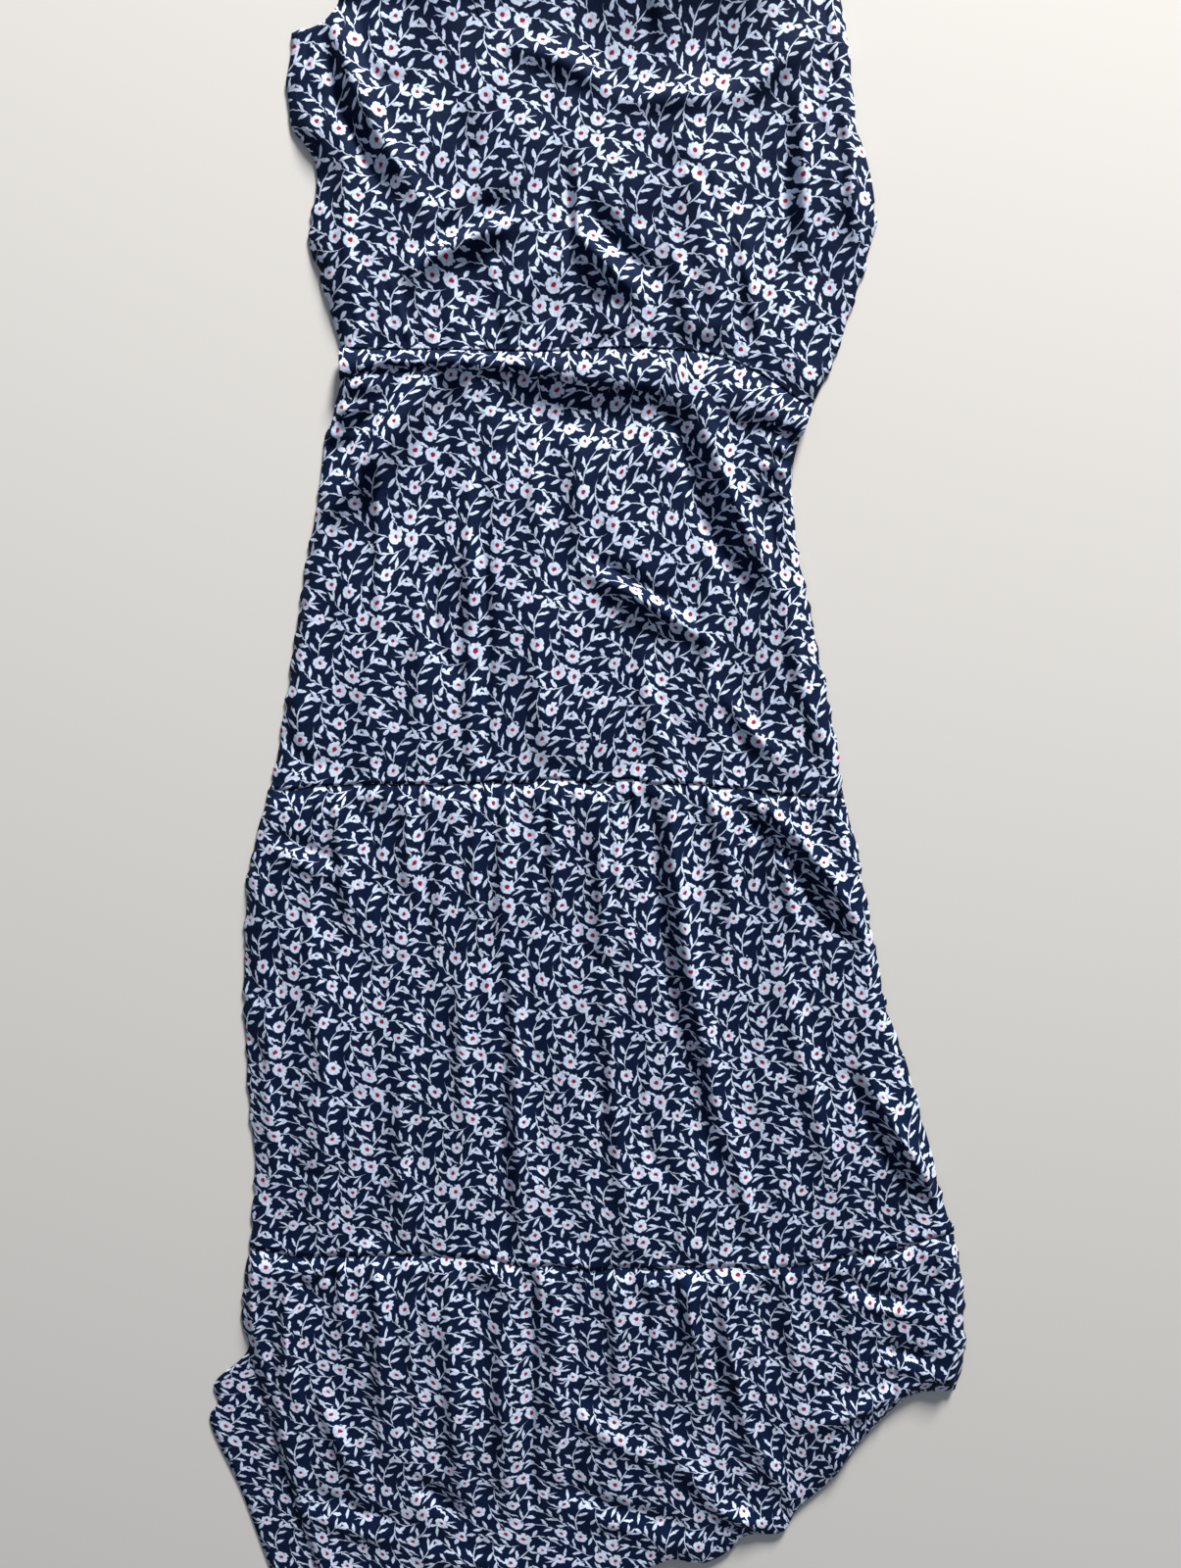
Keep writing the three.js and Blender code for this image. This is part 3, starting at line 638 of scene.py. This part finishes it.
# second tier, a straight strip gathered into the first
tier2Front = {
    "left": [(-262, -26), (-275, -66), (-283, -150), (-285, -247), (-282, -325)],
    "right": [(210, -36), (230, -129), (244, -188), (271, -264), (293, -340)],
    "cut": 640, "cutStart": (-260, 1500), "loft": 5.6, "topWavers": True, "rows": 130, "columns": 300,
    "gather": {"count": 46, "high": 4.4, "reach": 50, "seed": 13, "low": False},
    "creases": [(30, 130, 2.6, 35), (22, 60, 1.4, 36)],
    "rumple": [(24, 120, 2.6, 7), (13, 50, 1.0, 8), (80, 160, 2.4, 9)],
    "folds": [
        (62, -4, 112, -300, 9, 7, 5), (46, -4, 94, -300, 6, -7, 5), (136, -14, 214, -114, 9, 6, -6),
        (122, -20, 200, -120, 7, -6, -6), (-199, -8, -193, -112, 8, 5, 0),
        (-250, -40, -206, -60, 7, -2, 0), (-248, -52, -204, -74, 7, 2, 0),
        (-102, -130, -102, -290, 8, 4, 3), (-60, -150, -58, -380, 9, 5, 0),
        (-72, -150, -71, -370, 5, -5, 0), (226, -236, 290, -340, 8, 4, 4),
        (214, -246, 280, -352, 7, -4, 4), (242, -270, 298, -366, 6, 2.4, 0),
        (158, -150, 206, -330, 10, 4, 4), (14, -160, 32, -380, 9, 4, 3),
        (-222, -130, -226, -330, 10, 4, -4), (-25, -12, -30, -96, 6, 4, 0),
        (-66, -10, -73, -110, 6, 4, 0), (-143, -8, -147, -84, 6, 3.5, 0), (7, -8, 12, -134, 6, 4, 0),
        (104, -10, 113, -108, 6, 4, 0), (-150, -200, -156, -380, 9, 3.5, 3),
        (-262, -160, -264, -330, 7, 3, 2), (120, -300, 140, -400, 8, 3.5, 0),
    ],
}


def makeTier2Front():
    top, low = raised(tier2Seam, lay["lap"]), raised(tier3Seam, -lay["overhang"])
    place = patchBetween(top, low, tier2Front["left"], tier2Front["right"])
    across, down = gridOf(seamRows(tier2Front["rows"], 0), tier2Front["columns"])
    points = frontHeight(tier2Front, place, across, down)
    cut = gatheredCut(points, across, tier2Front["cut"], tier2Front["cutStart"])
    return clothPiece("tier2Front", "tier2_front", points, cut), points


# hem tier: its lower edge is turned under, as inset from the edge and height
tier3Front = {
    "left": [(-296, -428), (-299, -456), (-293, -503), (-280, -560), (-257, -660)],
    "right": [(315, -418), (321, -461), (322, -507)],
    "cut": 740, "cutStart": (90, 2400), "loft": 6.0, "topWavers": True,
    "rows": 104, "columns": 320, "turnRows": 18, "turnStart": 10,
    "turned": [(3.5, 5.6), (1, 4.6), (0, 3.2), (1, 1.8), (3.5, 1.4), (14, 1.4)],
    "gather": {"count": 52, "high": 4.0, "reach": 46, "seed": 14, "low": False},
    "creases": [(28, 100, 2.6, 37), (22, 50, 1.6, 38)],
    "rumple": [(22, 90, 2.6, 10), (12, 40, 1.1, 11), (70, 110, 3.0, 12)],
    "folds": [
        (-70, -408, -74, -640, 9, 6, 3), (-51, -300, -53, -640, 6, -6, 0),
        (-30, -408, -30, -640, 9, 5, -3), (-176, -404, -180, -540, 8, 5, 0),
        (-116, -410, -112, -620, 8, 5, 4), (23, -410, 22, -520, 7, 4.5, 0),
        (84, -380, 87, -465, 6, 4, 0), (119, -410, 128, -545, 9, 5, 3),
        (216, -440, 286, -458, 6, 1.4, 3), (216, -428, 280, -446, 7, -2.2, 3),
        (240, -500, 300, -514, 6, 1.5, 0), (244, -486, 296, -500, 7, -2.2, 0),
        (-262, -645, -170, -676, 7, 1.8, 3), (-250, -628, -160, -660, 7, -2, 3),
        (-150, -618, -116, -652, 8, -5, 0), (-20, -640, 90, -680, 10, 1.4, 5),
        (-30, -622, 86, -664, 8, -2.4, 5), (135, -560, 172, -632, 9, 3, 0),
        (165, -410, 180, -520, 8, 4, 2), (-253, -420, -262, -535, 8, 4, 0),
        (-36, -530, 84, -612, 10, 2.4, 6), (-232, -535, -206, -612, 8, 4, 0),
        (200, -560, 262, -530, 8, 4, 0), (60, -560, 120, -650, 10, 2.5, 3),
        (-150, -690, -60, -700, 10, 2.5, 2), (110, -640, 150, -664, 7, 4, 0),
    ],
}


def makeTier3Front():
    top, columns = raised(tier3Seam, lay["lap"]), tier3Front["columns"]
    place = patchBetween(top, frontHem, tier3Front["left"], tier3Front["right"])
    across, at = gridOf(seamRows(tier3Front["rows"], 0), columns)
    length = spanOf(place, across, at)[1]
    plain = frontHeight(tier3Front, place, across, at * (1 - tier3Front["turnStart"] / length), True)
    turned = lineThrough(tier3Front["turned"])(np.linspace(0, 1, tier3Front["turnRows"]))
    lower, row = np.meshgrid(np.linspace(0, 1, columns), np.arange(len(turned)))
    here = place(lower, 1 - turned[row, 0] / spanOf(place, lower, np.ones_like(lower))[1])
    points = np.vstack([plain, np.dstack([here, turned[row, 1]])])
    cut = gatheredCut(points, np.vstack([across, lower]), tier3Front["cut"], tier3Front["cutStart"])
    return clothPiece("tier3Front", "tier3_front", points, cut), points


# the backs lie flat; the hem tier's back shows its stitched hem at the lower left
backs = {
    "inset": 3, "rows": 90, "columns": 110, "cutAside": 900,
    "hemWide": 7.5, "hemHigh": 0.6, "hemEase": 0.5,
    "hemLeft": [
        (-292, -470), (-297, -497), (-327, -528), (-324, -546), (-332, -558), (-307, -634), (-287, -705),
    ],
}


def makeBack(name, node, top, low, sides, front):
    left, right = sides
    hemmed = node == "tier3_back"
    left = left if hemmed else [(x + backs["inset"], y) for x, y in left]
    place = patchBetween(top, low, left, [(x - backs["inset"], y) for x, y in right])
    across, down = gridOf(np.linspace(0, 1, backs["rows"]), backs["columns"])
    here = place(across, down)
    height = np.full(across.shape, lay["backTop"])
    if hemmed:
        fromEdge = across * spanOf(place, across, down)[0]
        height += backs["hemHigh"] * np.clip(backs["hemWide"] + backs["hemEase"] - fromEdge, 0, 1)
    points = np.dstack([here, height])
    start = (backs["cutAside"], front["cutStart"][1])
    gathered = node != "bodice_back"
    cut = gatheredCut(points, across, front["cut"], start) if gathered else here + start
    return clothPiece(name, node, points, cut), points


shift = partShift()
print("shift to the part's frame in mm", [round(v / mm, 2) for v in shift])

bodiceSides = (bodiceFront["left"], bodiceFront["right"])
tier1Sides = (tier1Front["left"], tier1Front["right"])
tier2Sides = (tier2Front["left"], tier2Front["right"])
tier3Sides = (backs["hemLeft"], tier3Front["right"])
backNeck = neckLine(neck["backLow"])
made = {
    "bodice_front": makeBodiceFront(), "tier1_front": makeTier1Front(),
    "tier2_front": makeTier2Front(), "tier3_front": makeTier3Front(),
    "bodice_back": makeBack("bodiceBack", "bodice_back", backNeck, waistSeam, bodiceSides, bodiceFront),
    "tier1_back": makeBack("tier1Back", "tier1_back", waistSeam, tier2Seam, tier1Sides, tier1Front),
    "tier2_back": makeBack("tier2Back", "tier2_back", tier2Seam, tier3Seam, tier2Sides, tier2Front),
    "tier3_back": makeBack("tier3Back", "tier3_back", tier3Seam, backHem, tier3Sides, tier3Front),
}
print("panels made")

# the sleeves' narrow hems and the back hem are topstitched: stitch length, gap, width and height in mm
topstitch = {
    "long": 2.2, "gap": 0.7, "wide": 0.5, "high": 0.25, "sunk": 0.4,
    "in": 7.0, "leftFrom": 463, "rightFrom": 420,  # how far in from the edge, and the lowest stitch
    "hemIn": 6.5, "hemFrom": -730, "hemSkip": 20,  # rows of the back that the front covers
}


def stitchPath(points, inset, lowest):
    # the line on a panel's grid that keeps its distance from the side edge
    run = runAlong(points[..., :2], 1)
    path = [[np.interp(inset, far, axis) for axis in row.T] for far, row in zip(run, points)]
    path = np.array(path)
    return path[path[:, 1] > lowest]


bodicePoints, backPoints = made["bodice_front"][1], made["tier3_back"][1]
stitches("sleeveStitches", [
    stitchPath(bodicePoints, topstitch["in"], topstitch["leftFrom"]),
    stitchPath(bodicePoints[:, ::-1], topstitch["in"], topstitch["rightFrom"]),
], topstitch)
hemPath = stitchPath(backPoints, topstitch["hemIn"], topstitch["hemFrom"])
stitches("hemStitches", [hemPath[topstitch["hemSkip"]:]], topstitch)
print("stitches made")

# floor, light and camera
room = {
    "floor": "#D9D4CC", "floorRough": 0.9, "floorSide": 12, "floorAt": (0, 0, -0.0004),
    "fill": "#D4E1F6", "fillStrength": 0.27,
}
floorMaterial = bpy.data.materials.new("matt pale paper")
floorMaterial.use_nodes = True
paper = floorMaterial.node_tree.nodes["Principled BSDF"].inputs
paper["Base Color"].default_value = srgb(room["floor"])
paper["Roughness"].default_value = room["floorRough"]
bpy.ops.mesh.primitive_plane_add(size=room["floorSide"], location=room["floorAt"])
floor = bpy.context.object
floor.name = "floor"
floor.data.materials.append(floorMaterial)

studio = {
    "key": {"at": (1.3, 4.42, 1.62), "size": 1.0, "watts": 560, "colour": "#FFFFFF"},
}
for name, lamp in studio.items():
    data = bpy.data.lights.new(name, "AREA")
    data.energy, data.size, data.color = lamp["watts"], lamp["size"], srgb(lamp["colour"])[:3]
    light = bpy.data.objects.new(name, data)
    light.location = lamp["at"]
    aim = -light.location
    light.rotation_mode = "QUATERNION"
    light.rotation_quaternion = aim.to_track_quat("-Z", "Y")
    bpy.context.collection.objects.link(light)
world = bpy.data.worlds.new("soft room")
world.use_nodes = True
fill = world.node_tree.nodes["Background"].inputs
fill["Color"].default_value = srgb(room["fill"])
fill["Strength"].default_value = room["fillStrength"]
bpy.context.scene.world = world

# the photograph looks down from about 0.94 m, leaning 9.2 degrees towards the hem
lens = {
    "away": 0.94, "lean": math.radians(9.2), "pixels": 1203, "longSide": 1600, "sensor": 36, "nearest": 0.05,
}
cameraData = bpy.data.cameras.new("camera")
cameraData.sensor_width = lens["sensor"]
cameraData.lens = lens["pixels"] * lens["sensor"] / lens["longSide"]
cameraData.clip_start = lens["nearest"]
camera = bpy.data.objects.new("camera", cameraData)
back, up = lens["away"] * math.sin(lens["lean"]), lens["away"] * math.cos(lens["lean"])
camera.location = (shift[0], shift[1] + back, up)
camera.rotation_euler = (-lens["lean"], 0, 0)
bpy.context.collection.objects.link(camera)
bpy.context.scene.camera = camera
bpy.context.scene.view_settings.view_transform = "Standard"
print("stage, light and camera set")
